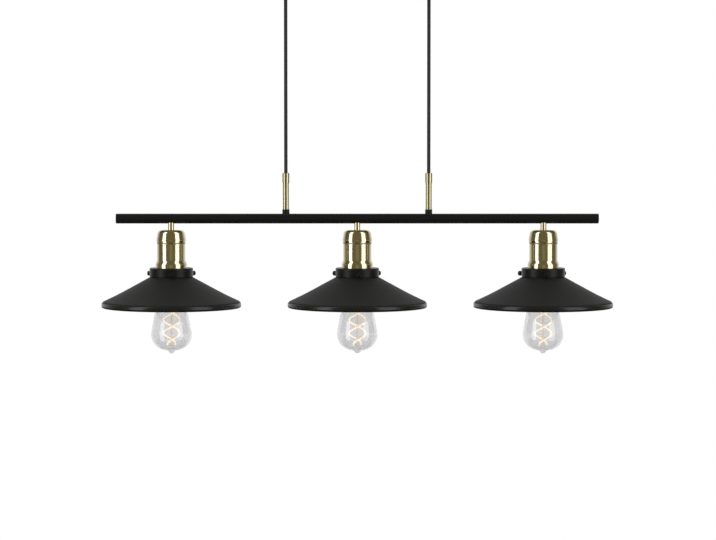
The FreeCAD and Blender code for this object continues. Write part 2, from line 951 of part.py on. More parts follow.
for side, x in cord_places.items():
    save("gland_" + side, moved(cord_gland(), x))
    save("cord_" + side, cord(x))
    save("grip_collar_" + side, moved(grip_collar(), x))
    tube_top = grip_top_z - collar_roof - fit_gap
    save("grip_tube_" + side, hollow_tube(x, bar_axis_z + saddle_face, tube_top))
save("grip_rings", *[grip_ring(x) for x in cord_places.values()])

save("bar_tube", bar_tube())
save("bar_caps", *bar_caps())
save(
    "saddle_nuts",
    *[saddle_nut(x, -1) for x in lamp_places.values()],
    *[saddle_nut(x, 1) for x in cord_places.values()],
)
save("bar_leads", *bar_leads())

filament_arms_made = [filament_arm(arm) for arm in range(filament_arms)]
print("least gap between the filament's turns:", round(filament_least_gap(), 2), "mm")
head_pieces = {
    "holder_cap": holder_cap(),
    "holder_body": holder_body(),
    "insert": insert(),
    "screw_shell": screw_shell(),
    "gallery": gallery(),
    "shade": shade(),
    "bulb_cap": bulb_cap(),
    "bulb_glass": bulb_glass(),
    "bulb_stem": bulb_stem(filament_arms_made),
    "bulb_filament": Part.makeCompound(filament_arms_made),
}
thumb_screws = [thumb_screw(azimuth) for azimuth in screw_azimuths()]
for lamp, x in lamp_places.items():
    for piece, shape in head_pieces.items():
        save(piece + "_" + lamp, moved(shape, x, holder_top_z))
    for number, shape in enumerate(thumb_screws, 1):
        save("thumb_screw_" + lamp + "_" + str(number), moved(shape, x, holder_top_z))

for piece, shape in (("lamp_nipples", nipple()), ("centre_contacts", centre_contact())):
    save(piece, *[moved(shape, x, holder_top_z) for x in lamp_places.values()])
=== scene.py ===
import json
import math

import bpy
from mathutils import Matrix, Vector


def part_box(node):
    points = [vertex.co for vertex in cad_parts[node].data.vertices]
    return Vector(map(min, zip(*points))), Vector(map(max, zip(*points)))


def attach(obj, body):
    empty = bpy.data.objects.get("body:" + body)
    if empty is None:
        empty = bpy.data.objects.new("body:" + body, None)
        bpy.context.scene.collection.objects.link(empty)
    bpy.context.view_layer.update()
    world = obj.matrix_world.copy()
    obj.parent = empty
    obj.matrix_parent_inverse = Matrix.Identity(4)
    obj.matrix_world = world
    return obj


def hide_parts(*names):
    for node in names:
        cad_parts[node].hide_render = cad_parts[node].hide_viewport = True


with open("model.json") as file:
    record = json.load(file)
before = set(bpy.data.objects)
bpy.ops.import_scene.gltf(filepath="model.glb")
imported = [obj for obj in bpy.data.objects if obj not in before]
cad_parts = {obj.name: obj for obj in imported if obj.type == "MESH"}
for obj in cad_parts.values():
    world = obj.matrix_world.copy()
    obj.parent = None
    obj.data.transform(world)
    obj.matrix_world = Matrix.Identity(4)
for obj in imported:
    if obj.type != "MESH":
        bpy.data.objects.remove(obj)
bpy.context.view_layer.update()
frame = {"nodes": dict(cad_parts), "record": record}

bl_info = {
    "name": "Three-Shade Bar Pendant",
    "version": (1, 0, 0),
    "blender": (4, 5, 0),
    "location": "3D View > Sidebar > Pendant",
    "description": "Dresses the frame of a bar pendant lamp: cords, holders, shades, bulbs and studio",
    "category": "Object",
}

record = frame["record"]
body_of = {node: body for body, nodes in record["behaviour"]["bodies"].items() for node in nodes}
slot_of = {part["node"]: part["material_slot"] for part in record["subparts"]}
lamps = ("left", "middle", "right")
sides = ("left", "right")


def millimetres(value):
    return value / 1000


def centre(node):
    low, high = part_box(node)
    return (low + high) / 2


def width(node):
    low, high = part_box(node)
    return high.x - low.x


def depth(node):
    low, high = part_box(node)
    return high.y - low.y


def ends(node, level=0.0):
    """How high a node's foot and top are above a level, or else above the ceiling's face."""
    low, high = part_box(node)
    return low.z - level, high.z - level


lamp_x = {lamp: centre("holder_cap_" + lamp).x for lamp in lamps}
cord_x = {side: centre("cord_" + side).x for side in sides}
lamp_pitch = lamp_x["right"] - lamp_x["middle"]
holder_foot, holder_top = ends("holder_cap_middle")
bar_foot, bar_top = ends("bar_tube")
bar_axis = (bar_foot + bar_top) / 2
bar_radius = (bar_top - bar_foot) / 2
fit_gap = millimetres(0.1)
threaded_bore = millimetres(3.5)
white = (1.0, 1.0, 1.0)


def length(name, description, default):
    """A size that a user may change, given in millimetres and kept in metres."""
    return bpy.props.FloatProperty(
        name=name, description=description, default=millimetres(default), unit="LENGTH",
        precision=5,
    )


def number(name, description, default):
    return bpy.props.FloatProperty(name=name, description=description, default=default)


def whole_number(name, description, default):
    return bpy.props.IntProperty(name=name, description=description, default=default)


def colour(name, description, default):
    return bpy.props.FloatVectorProperty(
        name=name, description=description, default=default, subtype="COLOR", size=3,
        min=0.0, max=1.0,
    )


def angle(name, description, degrees):
    return bpy.props.FloatProperty(
        name=name, description=description, default=math.radians(degrees), unit="ROTATION",
    )


class PendantView(bpy.types.PropertyGroup):
    """Where the camera stands."""

    distance: length("Distance", "From the camera to the point it looks at", 5000)
    elevation: angle("Elevation", "How far above the row the camera stands", 3.3)
    aim_drop: length("Aim", "How far under the ceiling the camera looks", 489.5)
    shift: number("Shift", "How far the picture is shifted to the right, as a share of its width", 0.001)
    pixels_across: whole_number("Picture width", "Width of the photograph in pixels", 716)
    millimetre_per_pixel: number("Scale", "Millimetres of the row in one pixel of the photograph", 1.613)


class PendantCords(bpy.types.PropertyGroup):
    """The textile cords."""

    diameter: length("Diameter", "Over the textile cover", 5.6)
    yarn: colour("Yarn", "Colour of the textile cover", (0.016, 0.016, 0.017))
    carriers: whole_number("Carriers", "Yarn bundles each way round the braid", 8)
    lay: length("Braid pitch", "Height that one bundle climbs in a turn", 14)


class PendantCoats(bpy.types.PropertyGroup):
    """The painted finishes."""

    satin: colour("Satin black", "Bar, galleries, ring nuts and canopy", (0.0053, 0.0053, 0.0054))
    matte: colour("Matte charcoal", "Shades", (0.0115, 0.0117, 0.0119))
    grain: length("Powder grain", "Size of the powder coat's orange peel", 0.7)
    # The rim's darker paint is painted shade, standing for the shadow over the rim.
    shaded_rim_height: length("Rim height", "Height of the darker paint on a shade's rim", 8)
    rim_foot: length("Rim foot", "Height of the rim's foot, whose paint isn't glossy", 3.2)


class PendantBrass(bpy.types.PropertyGroup):
    """The brass pieces."""

    tone: colour("Aged brass", "Plated brass of holders and grips", (0.60, 0.55, 0.38))
    plain: colour("Plain brass", "Machined brass inside", (0.70, 0.52, 0.22))
    roughness: number("Roughness", "How blurred the holders reflect", 0.12)
    grip_roughness: number("Grip roughness", "How blurred the cord grips reflect", 0.22)
    grip_dulling: number("Grip dulling", "How much darker the plating of the cord grips is", 0.32)
    # The seam's dark band is painted shade: it stands for the shadow in the crease under the dome.
    painted_seam_shade: number("Seam_shade", "How much the brass darkens in the seam under the dome", 0.9)
    painted_seam_shade_reach: length("Tarnish reach", "How far the tarnish spreads from the seam", 2.4)


class PendantHolder(bpy.types.PropertyGroup):
    """Sizes of the brass-covered lampholder."""

    wall: length("Wall", "Thickness of the turned sheet", 0.9)
    bore: length("Bore radius", "Radius of the threaded hole for the nipple", 5.05)
    dome_radius: length("Dome radius", "Radius where the top face ends", 21.0)
    dome_shoulder: length("Shoulder bend", "Bend between top face and side", 7)
    bulge_drop: length("Bulge drop", "From the top face to the widest place", 16.8)
    bulge_bend: length("Bulge bend", "Bend at the widest place", 8)
    seam_radius: length("Seam radius", "Radius at the foot of the dome", 23)
    boss_wall: length("Boss wall", "Wall of the threaded boss under the dome", 2.6)
    boss_depth: length("Boss depth", "How deep the nipple is held", 8)
    body_radius: length("Body radius", "Radius of the straight body", 22.8)
    flare_start: length("Flare start", "From the top face to where the skirt flares", 49.2)
    flare_end: length("Flare end", "From the top face to where the skirt is straight again", 54.7)
    flare_bend: length("Flare bend", "Bend at both ends of the flare", 6)


class PendantGallery(bpy.types.PropertyGroup):
    """Sizes of the gallery and its thumb screws."""

    wall: length("Wall", "Thickness of the pressed ring", 1.2)
    edge: length("Edge bend", "Bend between roof and flange", 1.6)
    hub: length("Hub depth", "Depth of the inner collar", 8)
    hub_radius: length("Hub radius", "Bore of the inner collar", 19.9)
    screw_radius: length("Screw radius", "Radius of the thumb screw's shank", 2)
    neck_radius: length("Neck radius", "Radius of the screw between flange and knob", 2.6)
    knob_start: length("Knob start", "From the lamp's axis to the knob's inner face", 38.3)
    knob_edge: length("Knob edge", "Rounding of the knob", 1.2)
    knurls: whole_number("Knurls", "Grooves round a knob", 20)
    knurl_share: number("Knurl share", "Share of the knob's radius that is left in a groove", 0.93)
    first_turn: angle("First screw", "Turn of the front screw from straight ahead", 2.7)


class PendantShade(bpy.types.PropertyGroup):
    """Sizes of the shade."""

    wall: length("Wall", "Thickness of the spun sheet", 1)
    neck_radius: length("Neck radius", "Outer radius of the neck", 31.5)
    neck_bend: length("Neck bend", "Bend between neck and flank", 2.5)
    bead: length("Bead radius", "Wire radius of the neck's bead", 1.7)
    bead_drop: length("Bead drop", "From the neck's upper edge to the bead's middle", 4.5)
    flank_fall: length("Flank fall", "From the gallery's foot down to where the brim starts", 29.7)
    brim_start: length("Brim start", "Radius where the flank turns flatter", 88)
    brim_fall: length("Brim fall", "From the brim's start to the outermost radius", 11.3)
    brim_bend: length("Brim bend", "Bend between flank and brim", 500)
    lip_radius: length("Lip radius", "Radius where the sheet ends over the rim", 110)
    lip_bend: length("Lip bend", "Rounding of the sheet's end", 0.2)
    rim_thickness: length("Rim thickness", "Thickness of the solid rim", 5)
    rim_step: length("Rim step", "How far the rim lies under the sheet's skin", 0.8)
    rim_top_bend: length("Rim top bend", "Rounding of the rim's upper edge", 3.6)
    rim_foot_bend: length("Rim foot bend", "Rounding of the rim's outer foot", 3)
    rim_bore_bend: length("Rim bore bend", "Rounding of the rim's inner foot", 1.5)


class PendantBulb(bpy.types.PropertyGroup):
    """Sizes and looks of the bulb."""

    glass_wall: length("Glass wall", "Thickness of the glass", 0.9)
    glass_tint: colour("Glass tint", "Colour of the glass", (0.835, 0.83, 0.84))
    neck_drop: length("Neck drop", "From the cap's end to where the neck opens", 4)
    neck_bend: length("Neck bend", "Bend where the neck opens", 14)
    shoulder_radius: length("Shoulder radius", "Radius where the shoulder turns to the long cone", 20.4)
    shoulder_drop: length("Shoulder drop", "From the cap's end to the shoulder's turn", 18)
    shoulder_bend: length("Shoulder bend", "Bend between shoulder and cone", 34)
    belly_radius: length("Belly radius", "Radius where cone and belly would meet", 38)
    belly_rise: length("Belly rise", "From the tip up to where cone and belly would meet", 6.8)
    belly_bend: length("Belly bend", "Bend of the belly", 25.8)
    pip_radius: length("Pip radius", "Radius where the pip starts", 7.2)
    pip_rise: length("Pip rise", "Height of the pip", 4.6)
    pip_tip: length("Pip tip", "Radius of the pip's flat end, and its bends", 3)
    filament_radius: length("Filament radius", "Radius of the double helix", 13.5)
    filament_end_radius: length("Filament end radius", "Radius of the helix at its lower end", 6.5)
    filament_draw_in: length("Filament draw-in", "Height over which the helix is drawn in", 17)
    filament_pitch: length("Filament pitch", "Climb of one turn", 42.7)
    filament_bottom: length("Filament bottom", "From the bulb's tip to the strip's lower end", 13.5)
    filament_height: length("Filament height", "Height of the double helix", 74)
    filament_front: length("Filament front", "Height at which the first strip passes in front", 29.4)
    filament_wire: length("Filament thickness", "Diameter of the coated strip", 2.4)
    glow: colour("Glow", "Colour of the lit filament", (1.0, 0.88, 0.68))
    glow_strength: number("Glow strength", "Brightness of the lit filament", 1.05)


class PendantStudio(bpy.types.PropertyGroup):
    """Lights, floor and background."""

    box_distance: length("Softbox distance", "From the row to the side softboxes", 6000)
    box_height: length("Softbox height", "Height of the side softboxes", 18000)
    box_drop: length("Softbox level", "From the ceiling to the middle of the side softboxes", 450)
    aim_drop: length("Aim", "From the ceiling to where all softboxes point", 500)
    left_near: angle("Left box, inner edge", "Angle from the camera's direction", 44)
    left_far: angle("Left box, outer edge", "Angle from the camera's direction", 69)
    right_near: angle("Right box, inner edge", "Angle from the camera's direction", 36)
    right_far: angle("Right box, outer edge", "Angle from the camera's direction", 70)
    left_level: number("Left level", "Radiance of the left softbox", 2.9)
    right_level: number("Right level", "Radiance of the right softbox", 2.2)
    top_level: number("Top level", "Radiance of the overhead softbox, which isn't mirrored", 2.1)
    ambient: number("Ambient", "Level of the world on matt surfaces", 0.55)
    dark_side: colour("Dark side", "Mirrored tone of the camera's side", (0.18, 0.163, 0.092))
    glint: number("Glint", "How much lighter the reflected camera itself is than its side", 0.55)
    side_tone: colour("Sides", "Mirrored tone of left and right", (0.19, 0.16, 0.105))
    bright_side: colour("Bright side", "Mirrored tone of the white wall behind", (1.0, 1.0, 1.0))
    floor_mirrored: number("Mirrored floor", "Level of the floor as glossy surfaces reflect it", 0.12)
    floor_bounce: number("Floor bounce", "How much light the floor throws back on the lamp", 0.35)
    floor_drop: length("Floor", "From the ceiling to the floor", 2400)
    floor_radius: length("Floor radius", "Of the floor, which fades into the background", 2500)
    fade_start: number("Fade start", "Where the floor starts to fade, as a share of its radius", 0.3)
    fade_width: number("Fade width", "How far the fade reaches, as a share of the floor's radius", 0.65)


groups = {
    "pendant_view": PendantView,
    "pendant_cords": PendantCords,
    "pendant_coats": PendantCoats,
    "pendant_brass": PendantBrass,
    "pendant_holder": PendantHolder,
    "pendant_gallery": PendantGallery,
    "pendant_shade": PendantShade,
    "pendant_bulb": PendantBulb,
    "pendant_studio": PendantStudio,
}


# Shader sums

class Link:
    """A socket of a node, with arithmetic that adds Math nodes to its recipe."""

    def __init__(self, recipe, socket):
        self.recipe = recipe
        self.socket = socket

    def math(self, operation, *others):
        return self.recipe.math(operation, self, *others)

    def __add__(self, other):
        return self.math("ADD", other)

    def __radd__(self, other):
        return self.recipe.math("ADD", other, self)

    def __sub__(self, other):
        return self.math("SUBTRACT", other)

    def __rsub__(self, other):
        return self.recipe.math("SUBTRACT", other, self)

    def __mul__(self, other):
        return self.math("MULTIPLY", other)

    def __truediv__(self, other):
        return self.math("DIVIDE", other)


class Recipe:
    """A node tree of a material or of the world, put together node by node."""

    def __init__(self, owner):
        owner.use_nodes = True
        self.owner = owner
        self.tree = owner.node_tree
        self.tree.nodes.clear()

    def node(self, kind, settings=None, values=None, ramp=None):
        """Adds a node: its settings and a ramp's stops first, then its sockets' values or links."""
        made = self.tree.nodes.new(kind)
        for name, value in (settings or {}).items():
            setattr(made, name, value)
        if ramp:
            stops = made.color_ramp.elements
            while len(stops) < len(ramp):
                stops.new(1.0)
            for stop, (place, shade) in zip(stops, ramp):
                stop.position = place
                stop.color = (*shade, 1.0)
        for name, value in (values or {}).items():
            socket = made.inputs[name]
            if isinstance(value, Link):
                self.tree.links.new(value.socket, socket)
            elif socket.type == "RGBA" and len(value) == 3:
                socket.default_value = (*value, 1.0)
            else:
                socket.default_value = value
        return made

    def out(self, node, name=0):
        return Link(self, node.outputs[name])

    def math(self, operation, *terms):
        values = dict(enumerate(terms))
        return self.out(self.node("ShaderNodeMath", {"operation": operation}, values))

    def place(self):
        """Where the surface is, in the object's own frame."""
        return self.out(self.node("ShaderNodeTexCoord"), "Object")

    def axes(self, vector=None):
        """The X, Y and Z of a vector, or else of the place."""
        split = self.node("ShaderNodeSeparateXYZ", values={"Vector": vector or self.place()})
        return [self.out(split, axis) for axis in "XYZ"]

    def vector(self, x, y, z):
        return self.out(self.node("ShaderNodeCombineXYZ", values={"X": x, "Y": y, "Z": z}))

    def noise(self, vector, scale, detail=2.0):
        values = {"Vector": vector, "Scale": scale, "Detail": detail}
        return self.out(self.node("ShaderNodeTexNoise", values=values), "Fac")

    def clouds(self, scale, detail):
        return self.noise(self.place(), scale, detail)

    def blend(self, factor, first, second):
        """A surface between two, by a factor."""
        values = {0: factor, 1: first, 2: second}
        return self.out(self.node("ShaderNodeMixShader", values=values))

    def ramp(self, factor, stops):
        return self.out(self.node("ShaderNodeValToRGB", values={"Fac": factor}, ramp=stops), "Color")

    def mix(self, factor, first, second):
        """A colour between two, by a factor. The Mix node has sockets of each name for every kind."""
        made = self.node("ShaderNodeMix", {"data_type": "RGBA"})
        wanted = (("Factor", "VALUE", factor), ("A", "RGBA", first), ("B", "RGBA", second))
        for name, kind, value in wanted:
            socket = next(s for s in made.inputs if s.name == name and s.type == kind)
            if isinstance(value, Link):
                self.tree.links.new(value.socket, socket)
            else:
                socket.default_value = value if kind == "VALUE" else (*value, 1.0)
        return Link(self, next(s for s in made.outputs if s.type == "RGBA"))

    def varied(self, factor, tone, darker, lighter=0.0):
        """A tone that goes from darker to lighter, by these shares, with a factor."""
        return self.mix(factor, lift(tone, -darker), lift(tone, lighter))

    def bump(self, height, depth, strength=1.0):
        values = {"Height": height, "Distance": depth, "Strength": strength}
        return self.out(self.node("ShaderNodeBump", values=values))

    def rays(self):
        """Whether a ray comes from the camera, straight or through glass, and whether from gloss."""
        path = self.node("ShaderNodeLightPath")
        camera, through_glass, glossy = [
            self.out(path, name) for name in ("Is Camera Ray", "Is Transmission Ray", "Is Glossy Ray")
        ]
        return camera.math("MAXIMUM", through_glass), glossy

    def finish(self, shader):
        kind = "World" if isinstance(self.owner, bpy.types.World) else "Material"
        self.node("ShaderNodeOutput" + kind, values={"Surface": shader})
        return self.owner

    def principled(self, values):
        """Ends the recipe in a surface with these values."""
        return self.finish(self.out(self.node("ShaderNodeBsdfPrincipled", values=values)))


def new_recipe(name):
    return Recipe(bpy.data.materials.new(name))


def lift(tone, amount):
    """A tone made lighter or darker by a share."""
    return tuple(min(1.0, channel * (1 + amount)) for channel in tone)


def wrapped(x, pitch):
    """X measured from the nearest of a row of axes that are a pitch apart."""
    return x.math("WRAP", pitch / 2, -pitch / 2)


# Finishes

def powder_coat(name, tone, roughness, peel, rim=None):
    """Baked powder paint with faint clouds and fine orange peel, darkened by painted shade and glossier
    on a rim.
    """
    grain = bpy.context.scene.pendant_coats.grain
    recipe = new_recipe(name)
    speck = recipe.clouds(0.35 / grain, 1.0)
    on_rim, on_band = rim_masks(recipe, *rim) if rim else (0.0, 0.0)
    paint = recipe.varied(recipe.clouds(9.0, 3.0), tone, darker=0.12, lighter=0.12)
    return recipe.principled({
        # Painted shade: on the rim the paint is taken most of the way to black.
        "Base Color": recipe.mix(on_rim * 0.85, paint, (0.0, 0.0, 0.0)),
        "Roughness": roughness + (speck - 0.5) * 0.12,
        "Specular IOR Level": 0.16,
        "Coat Weight": on_band * 0.6,
        "Coat Roughness": 0.22,
        "Normal": recipe.bump(recipe.clouds(1 / grain, 2.0), peel, strength=0.35),
    })


def rim_masks(recipe, band, top):
    """Where a shade's rim is, and where the band over its foot is."""
    z = recipe.axes()[2]
    on_rim = z.math("LESS_THAN", top)
    return on_rim, on_rim * z.math("GREATER_THAN", band)


def aged_brass():
    """Plated brass, brushed round its axis, darkened by painted shade in the dome's seam, and duller on
    the grips.
    """
    look = bpy.context.scene.pendant_brass
    recipe = new_recipe("aged_brass")
    x, y, z = recipe.axes()
    turn = wrapped(x, lamp_pitch).math("ARCTAN2", y)
    brushing = recipe.noise(recipe.vector(turn * 0.6, z * 3000.0, 0.0), 1.0)
    # Painted shade: a band of darker base colour along the seam under the dome, fading out over its
    # reach.
    in_seam = (1.0 - (z - holder_foot).math("ABSOLUTE") / look.painted_seam_shade_reach).math("MAXIMUM", 0.0)
    on_grip = z.math("GREATER_THAN", bar_axis)
    clean = recipe.varied(recipe.clouds(45.0, 3.0), look.tone, darker=0.08, lighter=0.06)
    # The seam's share of this darkening is painted shade; the grips' share is their own duller plating.
    seam_shade_and_dulling = in_seam * look.painted_seam_shade + on_grip * look.grip_dulling
    blur = look.roughness + on_grip * (look.grip_roughness - look.roughness) + in_seam * 0.3
    scratches = brushing * (1.0 - on_grip * 0.9)
    return recipe.principled({
        "Base Color": recipe.mix(seam_shade_and_dulling, clean, lift(look.tone, -0.75)),
        "Metallic": 1.0,
        "Roughness": blur + (scratches - 0.5) * 0.06,
        "Normal": recipe.bump(scratches, 0.00001, strength=0.25),
    })


def plain_metal(name, tone, roughness):
    """Machined or plated metal with faint turning marks."""
    recipe = new_recipe(name)
    x, y, z = recipe.axes()
    marks = recipe.noise(recipe.vector(x * 0.2, y * 0.2, z * 4.0), 900.0)
    return recipe.principled({
        "Base Color": recipe.varied(marks, tone, darker=0.08, lighter=0.08),
        "Metallic": 1.0,
        "Roughness": roughness + (marks - 0.5) * 0.15,
        "Normal": recipe.bump(marks, 0.00002, strength=0.3),
    })


def braided_textile():
    """Yarn braided round a cord: two sets of bundles that climb opposite ways."""
    look = bpy.context.scene.pendant_cords
    recipe = new_recipe("braided_textile")
    x, y, z = recipe.axes()
    across = x.math("ABSOLUTE") - cord_x["right"]
    turns = across.math("ARCTAN2", y) / (2 * math.pi)
    climb = z / look.lay
    ways = []
    for sense in (1.0, -1.0):
        phase = (turns * sense + climb) * (look.carriers * 2 * math.pi)
        ways.append(phase.math("SINE") * 0.5 + 0.5)
    weave = ways[0].math("MAXIMUM", ways[1])
    fibres = recipe.noise(recipe.vector(turns * 60.0, z * 5000.0, 0.0), 1.0)
    return recipe.principled({
        "Base Color": recipe.varied(weave, look.yarn, darker=0.45, lighter=0.35),
        "Roughness": 0.85 - fibres * 0.15,
        "Specular IOR Level": 0.3,
        "Sheen Weight": 0.1,
        "Sheen Roughness": 0.4,
        "Normal": recipe.bump(weave + fibres * 0.4, 0.0003, strength=0.8),
    })


def bulb_glass():
    """Clear blown glass with a faint grey tint."""
    tint = bpy.context.scene.pendant_bulb.glass_tint
    recipe = new_recipe("bulb_glass")
    ripple = recipe.clouds(28.0, 1.0)
    return recipe.principled({
        "Base Color": recipe.varied(ripple, tint, darker=0.01, lighter=0.01),
        "Roughness": ripple * 0.02,
        "IOR": 1.7,
        "Transmission Weight": 1.0,
    })


def glowing_stem_glass():
    """The sealed stem, given a faint painted glow for the filament's warm light that it takes up."""
    glow = bpy.context.scene.pendant_bulb.glow
    recipe = new_recipe("glowing_stem_glass")
    clouds = recipe.clouds(60.0, 2.0)
    return recipe.principled({
        "Base Color": recipe.varied(clouds, glow, darker=0.1),
        "Roughness": 0.15 + clouds * 0.1,
        "IOR": 1.45,
        "Transmission Weight": 0.95,
        # Painted glow: the stem emits a little of the filament's colour, though it is no lamp.
        "Emission Color": recipe.varied(clouds, glow, darker=0.1),
        "Emission Strength": 0.05,
    })


def lit_filament():
    """The coated strip, lit all along, with the small dots of its lamps under the coat."""
    look = bpy.context.scene.pendant_bulb
    recipe = new_recipe("lit_filament")
    dots = recipe.clouds(700.0, 1.0)
    return recipe.principled({
        "Base Color": recipe.varied(dots, look.glow, darker=0.2),
        "Roughness": 0.5,
        "Emission Color": recipe.varied(dots, look.glow, darker=0.12),
        "Emission Strength": look.glow_strength,
    })


def glazed_ceramic():
    """White porcelain with a soft glaze."""
    recipe = new_recipe("glazed_ceramic")
    clouds = recipe.clouds(50.0, 3.0)
    return recipe.principled({
        "Base Color": recipe.mix(clouds, (0.78, 0.77, 0.73), (0.86, 0.85, 0.81)),
        "Roughness": 0.2 + clouds * 0.1,
        "Coat Weight": 0.4,
    })


def moulded_plastic():
    """White moulded plastic of the terminal block."""
    recipe = new_recipe("moulded_plastic")
    clouds = recipe.clouds(90.0, 2.0)
    return recipe.principled({
        "Base Color": recipe.mix(clouds, (0.74, 0.74, 0.71), (0.82, 0.82, 0.80)),
        "Roughness": 0.45 + clouds * 0.1,
        "Normal": recipe.bump(clouds, 0.0001, strength=0.2),
    })


def make_finishes():
    """A material for each finish slot of the record, and for the pieces that have their own look."""
    coats = bpy.context.scene.pendant_coats
    brass = bpy.context.scene.pendant_brass
    foot = ends("shade_middle")[0]
    # The part of the shades' paint that carries the painted shade on the rim.
    rim = (foot + coats.rim_foot, foot + coats.shaded_rim_height)
    return {
        "black_satin": powder_coat("satin_black_coat", coats.satin, 0.36, 0.00002),
        "charcoal_matte": powder_coat("matte_charcoal_coat", coats.matte, 0.62, 0.00003, rim),
        "aged_brass": aged_brass(),
        "brass_plain": plain_metal("plain_brass", brass.plain, 0.3),
        "zinc_steel": plain_metal("zinc_plated_steel", (0.55, 0.56, 0.58), 0.38),
        "white_plastic": moulded_plastic(),
        "dark_textile": braided_textile(),
        "porcelain": glazed_ceramic(),
        "nickelled_cap": plain_metal("nickelled_cap", (0.72, 0.70, 0.66), 0.22),
        "clear_glass": bulb_glass(),
        "filament_cream": lit_filament(),
        "bulb_stem": glowing_stem_glass(),
        "thumb_screw": powder_coat("glossy_black_coat", coats.satin, 0.18, 0.00001),
    }


own_looks = ("bulb_stem", "thumb_screw")
finishes = {}


def finish_of(node):
    """The finish of a node's slot, but for the pieces that have a look of their own."""
    if not finishes:
        finishes.update(make_finishes())
    own = [finishes[kind] for kind in own_looks if node.startswith(kind)]
    return own[0] if own else finishes[slot_of[node]]


# Modelling steps

def deselect():
    if bpy.context.object and bpy.context.object.mode != "OBJECT":
        bpy.ops.object.mode_set(mode="OBJECT")
    bpy.ops.object.select_all(action="DESELECT")


def choose(piece):
    deselect()
    piece.select_set(True)
    bpy.context.view_layer.objects.active = piece


def rounded(corners, step=math.radians(10)):
    """Points of an outline. A corner is a radius, a height and, where it is round, its bend."""
    points = [Vector(corners[0][:2])]
    for before, corner, after in zip(corners, corners[1:], corners[2:]):
        here = Vector(corner[:2])
        bend = corner[2] if len(corner) > 2 else 0.0
        if not bend:
            points.append(here)
            continue
        arrive = (here - Vector(before[:2])).normalized()
        leave = (Vector(after[:2]) - here).normalized()
        turn = math.atan2(arrive.x * leave.y - arrive.y * leave.x, arrive.dot(leave))
        start = here - arrive * bend * math.tan(abs(turn) / 2)
        middle = start + Vector((-arrive.y, arrive.x)) * math.copysign(bend, turn)
        count = max(2, math.ceil(abs(turn) / step))
        for k in range(count + 1):
            points.append(middle + Matrix.Rotation(turn * k / count, 2) @ (start - middle))
    points.append(Vector(corners[-1][:2]))
    return points


def walled(points, wall):
    """The outline of a sheet, its wall on the right-hand side of the points, out and back."""
    inner = []
    for k, point in enumerate(points):
        sides_here = []
        if k > 0:
            sides_here.append((point - points[k - 1]).normalized())
        if k + 1 < len(points):
            sides_here.append((points[k + 1] - point).normalized())
        normals = [Vector((d.y, -d.x)) for d in sides_here]
        middle = sum(normals, Vector((0, 0))).normalized()
        inner.append(point + middle * (wall / middle.dot(normals[0])))
    return points + inner[::-1] + points[:1]


def edit(piece, kind="VERT", wanted=None):
    """Opens a piece for editing with all of it selected, or with what a test picks."""
    choose(piece)
    bpy.ops.object.mode_set(mode="EDIT")
    bpy.ops.mesh.select_mode(type=kind)
    if wanted is None:
        bpy.ops.mesh.select_all(action="SELECT")
        return
    bpy.ops.mesh.select_all(action="DESELECT")
    bpy.ops.object.mode_set(mode="OBJECT")
    elements = {"VERT": piece.data.vertices, "EDGE": piece.data.edges, "FACE": piece.data.polygons}
    for element in elements[kind]:
        element.select = wanted(element)
    bpy.ops.object.mode_set(mode="EDIT")


def spun(name, points, steps=96):
    """A piece turned about the row's upright axis, from an outline drawn vertex by vertex."""
    deselect()
    first = Vector((points[0].x, 0, points[0].y))
    bpy.ops.mesh.primitive_plane_add(size=0.001, location=first)
    piece = bpy.context.object
    piece.name = name
    edit(piece)
    bpy.ops.mesh.merge(type="CENTER")
    for here, there in zip(points, points[1:]):
        move = there - here
        bpy.ops.mesh.extrude_vertices_move(TRANSFORM_OT_translate={"value": (move.x, 0, move.y)})
    bpy.ops.mesh.select_all(action="SELECT")
    bpy.ops.mesh.spin(steps=steps, angle=2 * math.pi, center=(0, 0, 0), axis=(0, 0, 1))
    bpy.ops.mesh.select_all(action="SELECT")
    bpy.ops.mesh.remove_doubles(threshold=1e-6)
    bpy.ops.mesh.delete_loose()
    bpy.ops.mesh.select_all(action="SELECT")
    bpy.ops.mesh.normals_make_consistent(inside=False)
    return set_down(piece)


def closed(name, corners, steps=64):
    """A turned piece whose outline comes back to its first corner."""
    return spun(name, rounded(corners + corners[:1]), steps)


def strand(name, stops, radius, order, steps, facets):
    """A round strand along its stops, each of which is a place and a share of the thickness."""
    deselect()
    bpy.ops.curve.primitive_nurbs_path_add()
    piece = bpy.context.object
    piece.name = name
    piece.data.splines.clear()
    spline = piece.data.splines.new("NURBS")
    spline.points.add(len(stops) - 1)
    for point, (place, thickness) in zip(spline.points, stops):
        point.co = (*place, 1)
        point.radius = thickness
    spline.order_u = order
    spline.use_endpoint_u = True
    spline.resolution_u = steps
    piece.data.dimensions = "3D"
    piece.data.bevel_depth = radius
    piece.data.bevel_resolution = facets
    piece.data.use_fill_caps = True
    return piece


def set_down(piece):
    """Writes the piece's place into its mesh and shades it smooth, with its edges crisp."""
    choose(piece)
    bpy.ops.object.transform_apply(location=True, rotation=True, scale=True)
    bpy.ops.object.shade_smooth_by_angle(angle=math.radians(32))
    return piece


def copy_to(piece, name, x=0.0, z=0.0, turn=(0, 0, 0)):
    """A copy with its own mesh, turned, and moved along the row and down from the ceiling."""
    choose(piece)
    bpy.ops.object.duplicate(linked=False)
    made = bpy.context.object
    made.name = name
    made.rotation_euler = turn
    made.location = (x, 0, z)
    return set_down(made)


def discard(piece):
    choose(piece)
    bpy.ops.object.delete()


def joined(first, *others):
    choose(first)
    for other in others:
        other.select_set(True)
    bpy.ops.object.join()
    return first


def apply_modifier(piece, kind, **settings):
    choose(piece)
    bpy.ops.object.modifier_add(type=kind)
    modifier = piece.modifiers[-1]
    for name, value in settings.items():
        setattr(modifier, name, value)
    bpy.ops.object.modifier_apply(modifier=modifier.name)


